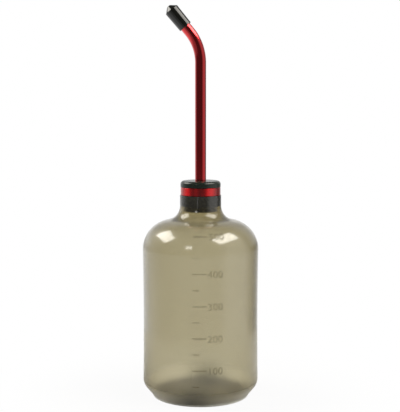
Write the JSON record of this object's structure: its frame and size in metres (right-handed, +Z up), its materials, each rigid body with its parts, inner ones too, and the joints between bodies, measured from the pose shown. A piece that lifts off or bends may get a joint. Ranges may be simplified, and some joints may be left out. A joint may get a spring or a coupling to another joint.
{
  "type": "fuel filler bottle",
  "caption": "Smoke-tinted squeeze bottle with a graduated side, a hooped neck, a push-in stopper and a bent metal spout closed by a pull-off tip cap.",
  "frame": {"origin": "centre of the foot ring, on the surface that the bottle stands on", "axes": "+Z up along the bottle's axis; the spout bends towards -X, so a viewer who looks along +Y sees it bend to the left"},
  "size_m": [0.0798, 0.0798, 0.2686],
  "materials": {
    "smoke_plastic": "see-through, smoke tinted, blow moulded",
    "red_anodised": "red anodised",
    "black_rubber": "moulded, glossy",
    "black_vinyl": "dipped, glossy"
  },
  "bodies": {
    "bottle": {"bottle": "smoke_plastic", "collar_ring": "red_anodised"},
    "stopper": {"stopper": "black_rubber", "spout_tube": "red_anodised"},
    "tip_cap": {"tip_cap": "black_vinyl"}
  },
  "joints": [
    {"name": "stopper_pull", "type": "slide", "parent": "bottle", "child": "stopper", "axis": [0, 0, 1], "range_m": [0, 0.045]},
    {"name": "cap_pull", "type": "slide", "parent": "stopper", "child": "tip_cap", "axis": [-0.6428, 0, 0.766], "range_m": [0, 0.022]}
  ]
}
